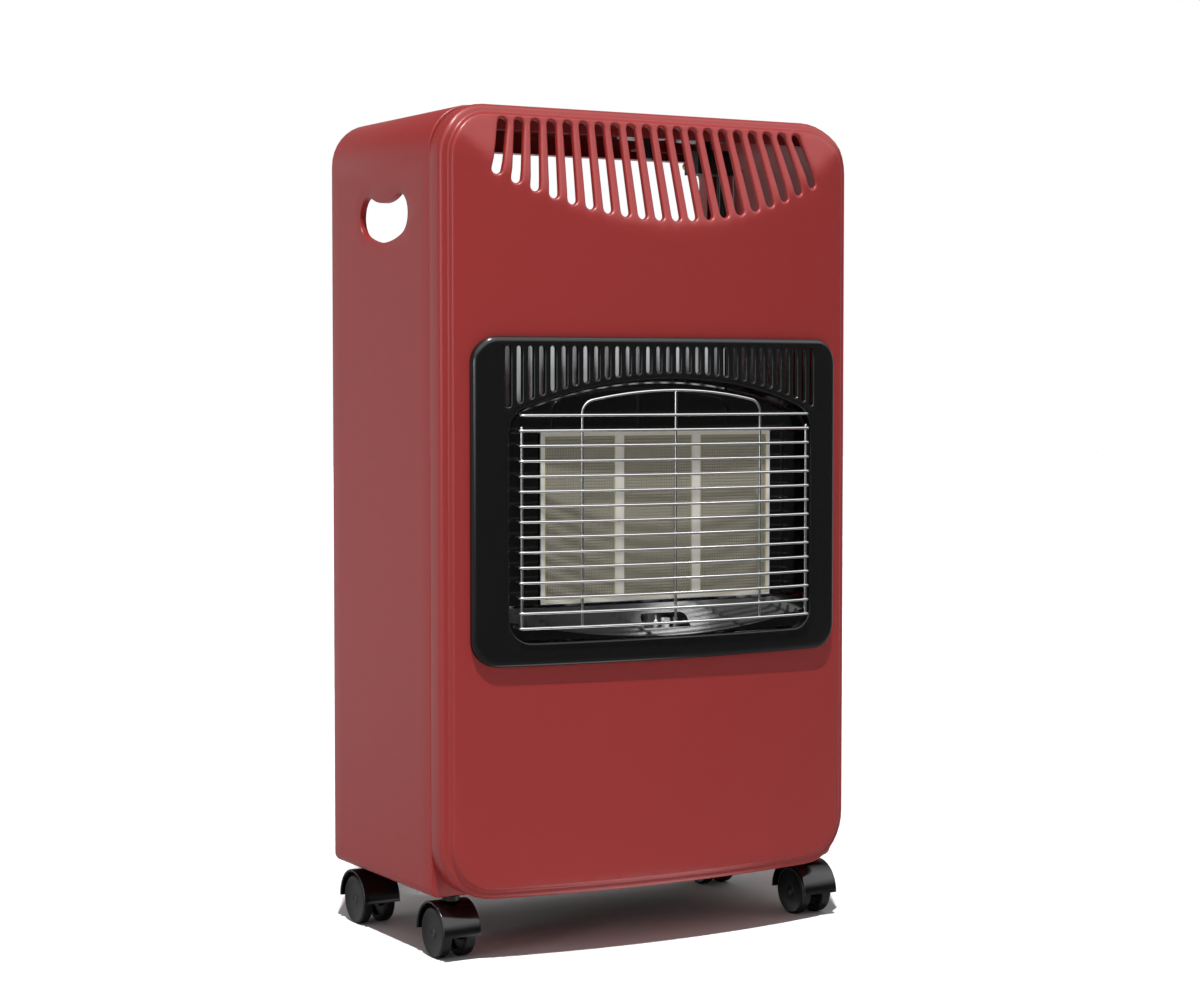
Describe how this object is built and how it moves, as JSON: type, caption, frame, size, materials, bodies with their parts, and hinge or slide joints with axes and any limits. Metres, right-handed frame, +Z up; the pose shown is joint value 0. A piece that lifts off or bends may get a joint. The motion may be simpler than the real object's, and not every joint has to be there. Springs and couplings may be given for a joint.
{
  "type": "portable gas cabinet heater",
  "caption": "Portable cabinet heater for bottled gas: bowed steel front with a slotted arched burner surround, wire guard, ceramic plaques, top controls and twin-wheel casters.",
  "frame": {"origin": "on the floor, under the middle of the heater's bounding box", "axes": "+Z up, the front with the burner faces -Y, +X towards the control knob's side"},
  "size_m": [0.42, 0.2702, 0.7436],
  "materials": {
    "red_enamel": "gloss red enamel",
    "black_enamel": "gloss black enamel",
    "chrome_wire": "bright chrome",
    "galvanised_steel": "galvanised sheet and steel tube",
    "aluminised_steel": "aluminised sheet",
    "black_steel": "black painted steel",
    "cream_steel": "pale heat-proof coating",
    "fibre_gasket": "pressed fibre",
    "ceramic": "unglazed, finely perforated",
    "white_ceramic": "glazed white",
    "brass": "turned brass",
    "black_plastic": "fine satin",
    "grey_plate": "zinc plated",
    "red_plastic": "smooth gloss",
    "lead_sleeve": "silicone sleeve",
    "plated_steel": "zinc plated",
    "hood_plastic": "gloss black nylon",
    "wheel_plastic": "satin black nylon"
  },
  "bodies": {
    "cabinet": {"cabinet_casing": "red_enamel", "base_tray": "black_enamel", "front_panel": "red_enamel", "heat_shield": "aluminised_steel", "burner_surround": "black_enamel", "guard_grille": "chrome_wire", "guard_arch_wire": "chrome_wire", "reflector_top": "black_enamel", "reflector_bottom": "black_enamel", "reflector_left": "black_enamel", "reflector_right": "black_enamel", "burner_frame": "cream_steel", "plaque_gaskets": "fibre_gasket", "ceramic_plaque_left": "ceramic", "ceramic_plaque_middle": "ceramic", "ceramic_plaque_right": "ceramic", "burner_plenum_left": "galvanised_steel", "burner_plenum_middle": "galvanised_steel", "burner_plenum_right": "galvanised_steel", "venturi_tubes": "galvanised_steel", "injectors": "brass", "gas_rail": "galvanised_steel", "pilot_bracket": "black_steel", "pilot_burner": "white_ceramic", "ignition_electrode": "white_ceramic", "thermocouple": "plated_steel", "control_console": "black_plastic", "valve_plate": "grey_plate", "igniter_plate": "grey_plate", "gas_valve": "black_steel", "piezo_igniter": "black_plastic", "burner_pipe": "black_steel", "pilot_pipe": "black_steel", "hose_inlet": "brass", "ignition_lead": "lead_sleeve", "panel_screws": "plated_steel", "caster_nuts": "plated_steel", "caster_fl_stem": "black_steel", "caster_fr_stem": "black_steel", "caster_rl_stem": "black_steel", "caster_rr_stem": "black_steel"},
    "spindle": {"valve_spindle": "plated_steel"},
    "knob": {"control_knob": "black_plastic"},
    "button": {"igniter_button": "red_plastic"},
    "swivel_fl": {"caster_fl_hood": "hood_plastic"},
    "wheels_fl": {"caster_fl_axle": "plated_steel", "caster_fl_wheel_left": "wheel_plastic", "caster_fl_wheel_right": "wheel_plastic"},
    "swivel_fr": {"caster_fr_hood": "hood_plastic"},
    "wheels_fr": {"caster_fr_axle": "plated_steel", "caster_fr_wheel_left": "wheel_plastic", "caster_fr_wheel_right": "wheel_plastic"},
    "swivel_rl": {"caster_rl_hood": "hood_plastic"},
    "wheels_rl": {"caster_rl_axle": "plated_steel", "caster_rl_wheel_left": "wheel_plastic", "caster_rl_wheel_right": "wheel_plastic"},
    "swivel_rr": {"caster_rr_hood": "hood_plastic"},
    "wheels_rr": {"caster_rr_axle": "plated_steel", "caster_rr_wheel_left": "wheel_plastic", "caster_rr_wheel_right": "wheel_plastic"}
  },
  "joints": [
    {"name": "knob_press", "type": "slide", "parent": "cabinet", "child": "spindle", "axis": [0, 0, 1], "range_m": [-0.003, 0], "stiffness_N_per_m": 600, "springref_m": 0.003},
    {"name": "knob_turn", "type": "hinge", "parent": "spindle", "child": "knob", "pos_m": [0.097, -0.0211, 0.737], "axis": [0, 0, 1], "range_deg": [0, 270]},
    {"name": "igniter_press", "type": "slide", "parent": "cabinet", "child": "button", "axis": [0, 0, 1], "range_m": [-0.004, 0], "stiffness_N_per_m": 400, "springref_m": 0.003},
    {"name": "swivel_fl", "type": "hinge", "parent": "cabinet", "child": "swivel_fl", "pos_m": [-0.1875, -0.0631, 0.04], "axis": [0, 0, 1], "continuous": true},
    {"name": "roll_fl", "type": "hinge", "parent": "swivel_fl", "child": "wheels_fl", "pos_m": [-0.1875, -0.0586, 0.022], "axis": [1, 0, 0], "continuous": true},
    {"name": "swivel_fr", "type": "hinge", "parent": "cabinet", "child": "swivel_fr", "pos_m": [0.1875, -0.0631, 0.04], "axis": [0, 0, 1], "continuous": true},
    {"name": "roll_fr", "type": "hinge", "parent": "swivel_fr", "child": "wheels_fr", "pos_m": [0.1875, -0.0586, 0.022], "axis": [1, 0, 0], "continuous": true},
    {"name": "swivel_rl", "type": "hinge", "parent": "cabinet", "child": "swivel_rl", "pos_m": [-0.1875, 0.1016, 0.04], "axis": [0, 0, 1], "continuous": true},
    {"name": "roll_rl", "type": "hinge", "parent": "swivel_rl", "child": "wheels_rl", "pos_m": [-0.1875, 0.1061, 0.022], "axis": [1, 0, 0], "continuous": true},
    {"name": "swivel_rr", "type": "hinge", "parent": "cabinet", "child": "swivel_rr", "pos_m": [0.1875, 0.1016, 0.04], "axis": [0, 0, 1], "continuous": true},
    {"name": "roll_rr", "type": "hinge", "parent": "swivel_rr", "child": "wheels_rr", "pos_m": [0.1875, 0.1061, 0.022], "axis": [1, 0, 0], "continuous": true}
  ]
}
